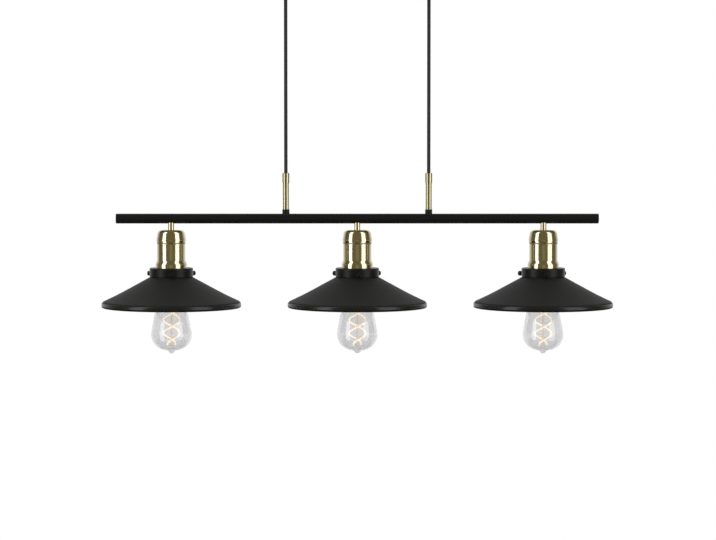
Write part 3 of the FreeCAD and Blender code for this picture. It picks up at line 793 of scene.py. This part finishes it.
def stand_for(piece, node):
    """Dresses a finished piece with its node's finish, on the node's body, in the node's stead."""
    piece.data.materials.clear()
    piece.data.materials.append(finish_of(node))
    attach(piece, body_of[node])
    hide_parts(node)


def as_one(name, node, pieces):
    """Joins the pieces that share a node into the one that stands for it."""
    whole = joined(*pieces)
    whole.name = name
    stand_for(whole, node)


def at_each_lamp(model, name, node):
    """Copies a model drawn from the holder's top face to the three lamps."""
    for lamp in lamps:
        piece = copy_to(model, name + "_" + lamp, lamp_x[lamp], holder_top)
        stand_for(piece, node + "_" + lamp)
    discard(model)


def at_each_cord(model, name, node):
    for side in sides:
        stand_for(copy_to(model, name + "_" + side, cord_x[side]), node + "_" + side)
    discard(model)


# Pieces

class PENDANT_OT_camera(bpy.types.Operator):
    """Put the camera where the photographer stood"""

    bl_idname = "pendant.camera"
    bl_label = "Camera"

    def execute(self, context):
        view = context.scene.pendant_view
        deselect()
        aim = Vector((0, 0, -view.aim_drop))
        back = Vector((0, -math.cos(view.elevation), math.sin(view.elevation)))
        bpy.ops.object.camera_add(location=aim + back * view.distance)
        camera = context.object
        camera.name = "photo_camera"
        camera.rotation_euler = back.to_track_quat("Z", "Y").to_euler()
        picture_width = view.pixels_across * millimetres(view.millimetre_per_pixel)
        camera.data.lens = camera.data.sensor_width * view.distance / picture_width
        camera.data.shift_x = view.shift
        context.scene.camera = camera
        return {"FINISHED"}


class PENDANT_OT_cords(bpy.types.Operator):
    """Hang the two textile cords between glands and grips"""

    bl_idname = "pendant.cords"
    bl_label = "Cords"

    def execute(self, context):
        diameter = context.scene.pendant_cords.diameter
        ease = diameter / 2
        for side in sides:
            x = cord_x[side]
            foot, top = ends("cord_" + side)
            stops = [
                (top, 0.25), (top - ease * 0.25, 0.8), (top - ease, 1.0), (top - 4 * ease, 1.0),
                ((foot + top) / 2, 1.0), (foot + 4 * ease, 1.0), (foot, 1.0),
            ]
            route = [((x, 0, z), thickness) for z, thickness in stops]
            cord = strand("textile_cord_" + side, route, ease, order=3, steps=12, facets=10)
            stand_for(cord, "cord_" + side)
        return {"FINISHED"}


class PENDANT_OT_grips(bpy.types.Operator):
    """Turn the brass grips that hold the cords on the bar"""

    bl_idname = "pendant.grips"
    bl_label = "Cord grips"

    def execute(self, context):
        bore = context.scene.pendant_cords.diameter / 2 + fit_gap
        bottom, top = ends("grip_collar_left")
        tube_bottom, tube_top = ends("grip_tube_left")
        ring_bottom, ring_top = ends("grip_rings")
        radius = width("grip_collar_left") / 2
        tube_radius = width("grip_tube_left") / 2
        ring_radius = depth("grip_rings") / 2
        taper = millimetres(3)
        edge = millimetres(0.7)
        ring_edge = millimetres(0.6)
        collar = closed("collar", [
            (bore, tube_top), (bore, top - edge / 2, edge / 4), (bore + edge / 2, top),
            (radius, top, edge), (radius, bottom + taper, 2 * edge),
            (radius - edge, bottom, edge / 4), (tube_radius, bottom), (tube_radius, tube_top),
        ])
        at_each_cord(collar, "brass_collar", "grip_collar")
        tube = closed("tube", [
            (threaded_bore, tube_top), (tube_radius, tube_top), (tube_radius, tube_bottom),
            (threaded_bore, tube_bottom),
        ])
        at_each_cord(tube, "brass_tube", "grip_tube")
        ring = closed("ring", [
            (tube_radius, ring_top), (ring_radius, ring_top, ring_edge),
            (ring_radius, ring_bottom), (tube_radius, ring_bottom),
        ])
        rings = [copy_to(ring, "ring_nut_" + side, cord_x[side]) for side in sides]
        discard(ring)
        as_one("ring_nuts", "grip_rings", rings)
        return {"FINISHED"}


class PENDANT_OT_bar(bpy.types.Operator):
    """Turn the bar and its end caps"""

    bl_idname = "pendant.bar"
    bl_label = "Bar"

    def execute(self, context):
        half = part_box("bar_tube")[1].x
        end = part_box("bar_caps")[1].x
        bore = bar_radius - millimetres(1.5)
        seam = millimetres(0.15)
        tube = closed("tube", [
            (bore, half), (bar_radius - seam, half), (bar_radius, half - seam),
            (bar_radius, -half + seam), (bar_radius - seam, -half), (bore, -half),
        ], steps=96)
        lying = math.pi / 2
        stand_for(copy_to(tube, "bar", 0, bar_axis, (0, lying, 0)), "bar_tube")
        discard(tube)
        edge = millimetres(1.2)
        plug = bore - fit_gap
        plug_end = half - millimetres(10)
        cap = spun("cap", rounded([
            (0, plug_end), (plug, plug_end), (plug, half), (bar_radius - seam, half),
            (bar_radius, half + seam), (bar_radius, end, edge), (0, end),
        ]))
        caps = [
            copy_to(cap, "cap_" + side, 0, bar_axis, (0, turn, 0))
            for side, turn in (("right", lying), ("left", -lying))
        ]
        discard(cap)
        as_one("bar_end_caps", "bar_caps", caps)
        return {"FINISHED"}


class PENDANT_OT_holders(bpy.types.Operator):
    """Turn the brass covers, nipples and ceramic inserts of the lampholders"""

    bl_idname = "pendant.holders"
    bl_label = "Lampholders"

    def execute(self, context):
        sizes = context.scene.pendant_holder
        self.domes(sizes)
        self.bodies(sizes)
        self.nipples()
        self.inserts()
        return {"FINISHED"}

    def domes(self, sizes):
        """The domed top with its bulge, and the threaded boss under it."""
        wall = sizes.wall
        bulge_radius = width("holder_cap_middle") / 2
        dome = spun("dome", walled(rounded([
            (sizes.bore, 0), (sizes.dome_radius, 0, sizes.dome_shoulder),
            (bulge_radius, -sizes.bulge_drop, sizes.bulge_bend),
            (sizes.seam_radius, holder_foot - holder_top),
        ], step=math.radians(5)), wall), steps=128)
        boss_radius = sizes.bore + sizes.boss_wall
        boss = closed("boss", [
            (sizes.bore, -wall), (boss_radius, -wall), (boss_radius, -sizes.boss_depth),
            (sizes.bore, -sizes.boss_depth),
        ], steps=48)
        at_each_lamp(joined(dome, boss), "brass_dome", "holder_cap")

    def bodies(self, sizes):
        """The straight body, tucked into the dome, with its flared skirt."""
        foot, top = ends("holder_body_middle", holder_top)
        skirt_radius = width("holder_body_middle") / 2
        tuck = sizes.seam_radius - sizes.wall - fit_gap
        shoulder = holder_foot - holder_top - fit_gap
        body = spun("body", walled(rounded([
            (tuck, top), (tuck, shoulder), (sizes.body_radius, shoulder),
            (sizes.body_radius, -sizes.flare_start, sizes.flare_bend),
            (skirt_radius, -sizes.flare_end, sizes.flare_bend), (skirt_radius, foot),
        ], step=math.radians(5)), sizes.wall), steps=128)
        at_each_lamp(body, "brass_body", "holder_body")

    def nipples(self):
        foot, top = ends("lamp_nipples")
        radius = depth("lamp_nipples") / 2
        edge = millimetres(0.3)
        nipple = closed("nipple", [
            (threaded_bore, top), (radius - edge, top), (radius, top - edge),
            (radius, foot + edge), (radius - edge, foot), (threaded_bore, foot),
        ])
        nipples = [copy_to(nipple, "nipple_" + lamp, lamp_x[lamp]) for lamp in lamps]
        discard(nipple)
        as_one("brass_nipples", "lamp_nipples", nipples)

    def inserts(self):
        """The ceramic insert: a flange, a slimmer foot, and the space for the screw shell."""
        foot, top = ends("insert_middle", holder_top)
        shell_gap = millimetres(0.05)
        shell = width("screw_shell_middle") / 2 + shell_gap
        shelf = ends("screw_shell_middle", holder_top)[1] + shell_gap
        flange = width("insert_middle") / 2
        flange_foot = top - millimetres(6)
        radius = millimetres(19.8)
        pocket = millimetres(9)
        roof = shelf + millimetres(5.5)
        edge = millimetres(0.8)
        insert = spun("insert", rounded([
            (0, top), (flange, top, edge), (flange, flange_foot, edge), (radius, flange_foot),
            (radius, foot, edge), (shell, foot), (shell, shelf), (pocket, shelf),
            (pocket, roof), (0, roof),
        ]))
        at_each_lamp(insert, "ceramic_insert", "insert")


class PENDANT_OT_galleries(bpy.types.Operator):
    """Turn the galleries and their knurled thumb screws"""

    bl_idname = "pendant.galleries"
    bl_label = "Galleries"

    def execute(self, context):
        sizes = context.scene.pendant_gallery
        foot, roof = ends("gallery_middle", holder_top)
        radius = width("gallery_middle") / 2
        lip = millimetres(0.4)
        ring = spun("gallery", walled(rounded([
            (sizes.hub_radius, roof - sizes.wall - sizes.hub), (sizes.hub_radius, roof),
            (radius, roof, sizes.edge), (radius, foot + lip, lip), (radius - lip, foot),
        ]), sizes.wall), steps=128)
        at_each_lamp(ring, "gallery_ring", "gallery")
        self.thumb_screws(sizes)
        return {"FINISHED"}

    def thumb_screws(self, sizes):
        """A screw drawn upright along its own axis, then laid outwards and turned to its place."""
        tip, end = sorted(abs(corner.y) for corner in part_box("thumb_screw_middle_1"))
        foot, top = ends("thumb_screw_middle_1")
        knob = (top - foot) / 2
        height = centre("thumb_screw_middle_1").z
        edge = sizes.knob_edge
        chamfer = millimetres(0.5)
        step = millimetres(36)
        screw = spun("thumb_screw", rounded([
            (0, tip), (sizes.screw_radius - chamfer, tip), (sizes.screw_radius, tip + chamfer),
            (sizes.screw_radius, step), (sizes.neck_radius, step),
            (sizes.neck_radius, sizes.knob_start), (knob, sizes.knob_start, edge),
            (knob, end, edge), (0, end),
        ]), steps=2 * sizes.knurls)
        self.knurl(screw, knob - edge / 4, sizes)
        for lamp in lamps:
            for place in (1, 2, 3):
                node = "%s_%d" % (lamp, place)
                azimuth = sizes.first_turn - math.pi / 2 + (place - 1) * 2 * math.pi / 3
                turn = (0, math.pi / 2, azimuth)
                piece = copy_to(screw, "knurled_screw_" + node, lamp_x[lamp], height, turn)
                stand_for(piece, "thumb_screw_" + node)
        discard(screw)

    def knurl(self, screw, grip_radius, sizes):
        """Sinks every second line of vertices round the knob."""
        def in_groove(vertex):
            line = math.atan2(vertex.co.y, vertex.co.x) / math.pi * sizes.knurls
            return math.hypot(vertex.co.x, vertex.co.y) > grip_radius and round(line) % 2 == 0

        edit(screw, "VERT", in_groove)
        shares = (sizes.knurl_share, sizes.knurl_share, 1.0)
        bpy.ops.transform.resize(value=shares, center_override=(0, 0, 0))
        bpy.ops.object.mode_set(mode="OBJECT")


class PENDANT_OT_shades(bpy.types.Operator):
    """Spin the three shades, with neck bead, flank, brim and rim"""

    bl_idname = "pendant.shades"
    bl_label = "Shades"

    def execute(self, context):
        sizes = context.scene.pendant_shade
        foot, top = ends("shade_middle", holder_top)
        radius = width("shade_middle") / 2
        bore = radius - sizes.rim_thickness
        seat = ends("gallery_middle", holder_top)[0] - millimetres(0.3)
        seat_radius = width("gallery_middle") / 2 - context.scene.pendant_gallery.wall
        flank = sizes.flank_fall / (sizes.brim_start - seat_radius)
        brim = sizes.brim_fall / (radius - sizes.brim_start)
        flank_skin = self.skin(sizes, seat - sizes.flank_fall, flank)
        brim_skin = self.skin(sizes, seat - sizes.flank_fall, brim)
        wall = sizes.wall
        neck = sizes.neck_radius
        inner_neck = neck - wall
        inner_shift = (math.hypot(1, flank) - math.hypot(1, brim)) / (flank - brim)
        inner_start = sizes.brim_start - wall * inner_shift
        step = sizes.rim_step / math.hypot(1, brim)
        lip = Vector((sizes.lip_radius, brim_skin(sizes.lip_radius, 0)))
        groove = lip - Vector((brim, 1)).normalized() * step
        outer = [
            (neck, flank_skin(neck, 0), sizes.neck_bend),
            (sizes.brim_start, flank_skin(sizes.brim_start, 0), sizes.brim_bend),
            (lip.x, lip.y, sizes.lip_bend),
        ]
        rim = [
            (groove.x, groove.y), (radius, brim_skin(radius, 0) - sizes.rim_step, sizes.rim_top_bend),
            (radius, foot, sizes.rim_foot_bend), (bore, foot, sizes.rim_bore_bend),
        ]
        inner = [
            (bore, brim_skin(bore, wall)),
            (inner_start, flank_skin(inner_start, wall), sizes.brim_bend + wall),
            (inner_neck, flank_skin(inner_neck, wall), sizes.neck_bend - wall),
        ]
        outer_bead = self.bead(top, sizes, 90, -90)
        inner_bead = self.bead(top, sizes, 234, 126)
        corners = [(neck, top)] + outer_bead + outer + rim + inner + inner_bead + [(inner_neck, top)]
        outline = rounded(corners, step=math.radians(6))
        shade = spun("shade", outline + outline[:1], steps=160)
        at_each_lamp(shade, "spun_shade", "shade")
        return {"FINISHED"}

    def skin(self, sizes, corner, slope):
        """The height of a sloping skin at a radius, at a depth under its outer face."""
        def height(at, depth):
            return corner - (at - sizes.brim_start) * slope - depth * math.hypot(1, slope)

        return height

    def bead(self, top, sizes, first, last):
        """Points round the neck's bead, from a first to a last turn in degrees."""
        middle = top - sizes.bead_drop
        spans = 12
        points = []
        for k in range(spans + 1):
            turn = math.radians(first + (last - first) * k / spans)
            points.append((
                sizes.neck_radius + sizes.bead * math.cos(turn), middle + sizes.bead * math.sin(turn),
            ))
        return points


class PENDANT_OT_bulbs(bpy.types.Operator):
    """Blow the bulbs and wind their filaments"""

    bl_idname = "pendant.bulbs"
    bl_label = "Bulbs"

    def execute(self, context):
        sizes = context.scene.pendant_bulb
        self.glass(sizes)
        self.caps()
        self.filaments(sizes)
        return {"FINISHED"}

    def glass(self, sizes):
        tip, top = ends("bulb_glass_middle", holder_top)
        cap_end = ends("bulb_cap_middle", holder_top)[0]
        neck = width("bulb_cap_middle") / 2 - millimetres(0.5)
        outline = rounded([
            (neck, top), (neck, cap_end - sizes.neck_drop, sizes.neck_bend),
            (sizes.shoulder_radius, cap_end - sizes.shoulder_drop, sizes.shoulder_bend),
            (sizes.belly_radius, tip + sizes.belly_rise, sizes.belly_bend),
            (sizes.pip_radius, tip + sizes.pip_rise, sizes.pip_tip),
            (sizes.pip_tip, tip, sizes.pip_tip), (0, tip),
        ], step=math.radians(3))
        glass = spun("glass", walled(outline, sizes.glass_wall), steps=128)
        at_each_lamp(glass, "blown_glass", "bulb_glass")

    def caps(self):
        """The screw cap, its thread drawn as a row of round ridges."""
        foot, top = ends("bulb_cap_middle", holder_top)
        radius = width("bulb_cap_middle") / 2
        core = radius - millimetres(0.55)
        bore = radius - millimetres(0.95)
        button = millimetres(4.5)
        button_edge = millimetres(0.7)
        button_foot = top - millimetres(1.5)
        cone_foot = button_foot - millimetres(2.6)
        web = top - millimetres(9)
        ridges = 5
        pitch = millimetres(3.62)
        valley_bend = pitch * 0.12
        crest_bend = pitch * 0.2
        crest_top, crest_foot, valley = pitch * 0.3, pitch * 0.5, pitch * 0.8
        corners = [(0, top), (button, top, button_edge), (button, button_foot), (core, cone_foot)]
        for k in range(ridges):
            height = cone_foot - millimetres(1) - k * pitch
            corners += [
                (core, height, valley_bend), (radius, height - crest_top, crest_bend),
                (radius, height - crest_foot, crest_bend), (core, height - valley, valley_bend),
            ]
        corners += [(core, foot), (bore, foot), (bore, web), (0, web)]
        at_each_lamp(spun("cap", rounded(corners)), "screw_cap", "bulb_cap")

    def filaments(self, sizes):
        """Two strips wound half a turn apart, drawn in at their lower ends."""
        foot = ends("bulb_glass_middle", holder_top)[0] + sizes.filament_bottom
        spans = 72
        strips = []
        for arm in (0, 1):
            rises = [sizes.filament_height * k / spans for k in range(spans + 1)]
            route = [(self.wound(sizes, foot, arm, rise), 1.0) for rise in rises]
            strip = strand("strip", route, sizes.filament_wire / 2, order=4, steps=3, facets=4)
            choose(strip)
            bpy.ops.object.convert(target="MESH")
            strips.append(bpy.context.object)
        at_each_lamp(joined(*strips), "glowing_filament", "bulb_filament")

    def wound(self, sizes, foot, arm, rise):
        """The place on a strip at a rise above its foot."""
        drawn_in = max(0.0, 1 - rise / sizes.filament_draw_in) ** 2
        radius = sizes.filament_radius - (sizes.filament_radius - sizes.filament_end_radius) * drawn_in
        turns = (rise - sizes.filament_front) / sizes.filament_pitch + arm / 2
        azimuth = 2 * math.pi * turns - math.pi / 2
        return radius * math.cos(azimuth), radius * math.sin(azimuth), foot + rise


class PENDANT_OT_canopy(bpy.types.Operator):
    """Press the canopy cover and turn the glands"""

    bl_idname = "pendant.canopy"
    bl_label = "Canopy"

    def execute(self, context):
        self.cover()
        self.glands(context.scene.pendant_cords.diameter / 2)
        return {"FINISHED"}

    def cover(self):
        """A box whose corners and lower edges are rounded, open at the ceiling."""
        low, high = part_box("canopy_cover")
        deselect()
        bpy.ops.mesh.primitive_cube_add(size=1, location=(low + high) / 2)
        cover = bpy.context.object
        cover.name = "canopy_cover_pressed"
        cover.dimensions = high - low
        bpy.ops.object.transform_apply(location=True, rotation=True, scale=True)

        def reach(edge):
            return sorted(cover.data.vertices[k].co.z for k in edge.vertices)

        def upright(edge):
            foot, top = reach(edge)
            return top - foot > millimetres(1)

        def at_foot(edge):
            return reach(edge)[1] < low.z + millimetres(0.1)

        edit(cover, "EDGE", upright)
        bpy.ops.mesh.bevel(offset=millimetres(9), segments=10, affect="EDGES")
        edit(cover, "EDGE", at_foot)
        bpy.ops.mesh.bevel(offset=millimetres(3), segments=6, affect="EDGES")
        edit(cover, "FACE", lambda face: face.normal.z > 0.9)
        bpy.ops.mesh.delete(type="FACE")
        bpy.ops.object.mode_set(mode="OBJECT")
        wall = millimetres(1.2)
        apply_modifier(cover, "SOLIDIFY", thickness=wall, offset=-1.0, use_even_offset=True)
        stand_for(set_down(cover), "canopy_cover")

    def glands(self, cord_radius):
        foot, top = ends("gland_left")
        floor = ends("canopy_cover")[0]
        flange = width("gland_left") / 2
        flange_foot = floor - millimetres(4)
        bore = cord_radius + fit_gap
        thread = millimetres(5)
        mouth = millimetres(4.5)
        edge = millimetres(0.8)
        gland = closed("gland", [
            (bore, foot), (mouth, foot, edge), (flange - edge, flange_foot, edge),
            (flange, flange_foot, edge / 3), (flange, floor, edge / 3), (thread, floor),
            (thread, top), (bore, top),
        ])
        at_each_cord(gland, "cord_gland", "gland")


class PENDANT_OT_frame_finishes(bpy.types.Operator):
    """Give every carried-over node the finish of its slot"""

    bl_idname = "pendant.frame_finishes"
    bl_label = "Frame finishes"

    def execute(self, context):
        for name, node in frame["nodes"].items():
            for place in node.material_slots:
                place.material = finish_of(name)
        return {"FINISHED"}


class PENDANT_OT_studio(bpy.types.Operator):
    """Set up the floor, the white background and the softboxes"""

    bl_idname = "pendant.studio"
    bl_label = "Studio"

    def execute(self, context):
        look = context.scene.pendant_studio
        self.world(context, look)
        self.floor(look)
        self.side_box("softbox_left", look, -look.left_near, -look.left_far, look.left_level)
        self.side_box("softbox_right", look, look.right_near, look.right_far, look.right_level)
        top_place = (-1.3, -1.2, 2.6)
        top_size = (3.2, 2.4)
        top = self.softbox("softbox_top", look, top_place, top_size, look.top_level)
        top.visible_glossy = False
        context.scene.view_settings.view_transform = "Standard"
        return {"FINISHED"}

    def world(self, context, look):
        """White wherever it is seen, directly or through glass; for gloss, white behind only."""
        world = bpy.data.worlds.new("studio")
        context.scene.world = world
        recipe = Recipe(world)
        direction = recipe.out(recipe.node("ShaderNodeTexCoord"), "Generated")
        behind = recipe.axes(direction)[1] * 0.5 + 0.5
        glint = lift(look.dark_side, look.glint)
        mirrored = recipe.ramp(behind, (
            (0.0, glint), (0.008, glint), (0.016, look.dark_side), (0.45, look.side_tone),
            (0.64, look.side_tone), (0.9, look.bright_side),
        ))
        seen, glossy = recipe.rays()
        unseen = recipe.mix(glossy, (look.ambient,) * 3, mirrored)
        values = {"Color": recipe.mix(seen, unseen, white), "Strength": 1.0}
        recipe.finish(recipe.out(recipe.node("ShaderNodeBackground", values=values)))

    def floor(self, look):
        """A pale floor that fades into the background but keeps a trace of the lamp's shadow."""
        deselect()
        bpy.ops.mesh.primitive_circle_add(
            vertices=96, radius=look.floor_radius, fill_type="NGON", location=(0, 0, -look.floor_drop),
        )
        floor = bpy.context.object
        floor.name = "floor"
        recipe = new_recipe("pale_floor")
        seen, glossy = recipe.rays()
        tone = recipe.mix(seen, (look.floor_mirrored,) * 3, white)
        paint = recipe.mix(seen, (look.floor_bounce,) * 3, (0.9, 0.9, 0.9))
        matt = recipe.out(recipe.node("ShaderNodeBsdfDiffuse", values={"Color": paint}))
        glow = recipe.out(recipe.node("ShaderNodeEmission", values={"Color": tone, "Strength": 1.0}))
        clear = recipe.out(recipe.node("ShaderNodeBsdfTransparent"))
        x, y, z = recipe.axes()
        reach = (x * x + y * y).math("SQRT") / look.floor_radius
        faded = (reach - look.fade_start) / look.fade_width
        fade = faded.math("MAXIMUM", 0.0).math("MINIMUM", 1.0)
        both = recipe.blend(seen.math("MAXIMUM", glossy) * 0.7, matt, glow)
        floor.data.materials.append(recipe.finish(recipe.blend(seen * fade, both, clear)))

    def side_box(self, name, look, near, far, level):
        """A tall softbox between two angles from the camera's direction."""
        middle = (near + far) / 2
        wide = 2 * look.box_distance * math.tan(abs(far - near) / 2)
        place = Vector((math.sin(middle), -math.cos(middle), 0)) * look.box_distance
        place.z = -look.box_drop
        self.softbox(name, look, place, (wide, look.box_height), level)

    def softbox(self, name, look, place, size, level):
        """An area light that faces the row, of a given radiance."""
        deselect()
        aim = Vector((0, 0, -look.aim_drop))
        bpy.ops.object.light_add(type="AREA", location=place)
        light = bpy.context.object
        light.name = name
        light.rotation_euler = (Vector(place) - aim).to_track_quat("Z", "Y").to_euler()
        light.data.shape = "RECTANGLE"
        light.data.size, light.data.size_y = size
        light.data.energy = level * math.pi * size[0] * size[1]
        light.visible_camera = False
        light.visible_transmission = False
        return light


class PENDANT_PT_panel(bpy.types.Panel):
    """The pendant's pieces and sizes, in the sidebar of the 3D view"""

    bl_idname = "PENDANT_PT_panel"
    bl_label = "Bar pendant"
    bl_space_type = "VIEW_3D"
    bl_region_type = "UI"
    bl_category = "Pendant"

    def draw(self, context):
        for operator in operators:
            self.layout.operator(operator.bl_idname)
        for name, group in groups.items():
            box = self.layout.box()
            box.label(text=group.__doc__)
            settings = getattr(context.scene, name)
            for prop in group.__annotations__:
                box.prop(settings, prop)


operators = (
    PENDANT_OT_camera,
    PENDANT_OT_cords,
    PENDANT_OT_frame_finishes,
    PENDANT_OT_canopy,
    PENDANT_OT_grips,
    PENDANT_OT_bar,
    PENDANT_OT_holders,
    PENDANT_OT_galleries,
    PENDANT_OT_shades,
    PENDANT_OT_bulbs,
    PENDANT_OT_studio,
)


def register():
    for name, group in groups.items():
        bpy.utils.register_class(group)
        setattr(bpy.types.Scene, name, bpy.props.PointerProperty(type=group))
    for kind in operators + (PENDANT_PT_panel,):
        bpy.utils.register_class(kind)


def unregister():
    for kind in (PENDANT_PT_panel,) + operators[::-1]:
        bpy.utils.unregister_class(kind)
    for name, group in reversed(groups.items()):
        delattr(bpy.types.Scene, name)
        bpy.utils.unregister_class(group)


def main():
    register()
    for operator in operators:
        group, name = operator.bl_idname.split(".")
        getattr(getattr(bpy.ops, group), name)()


if __name__ == "__main__":
    main()
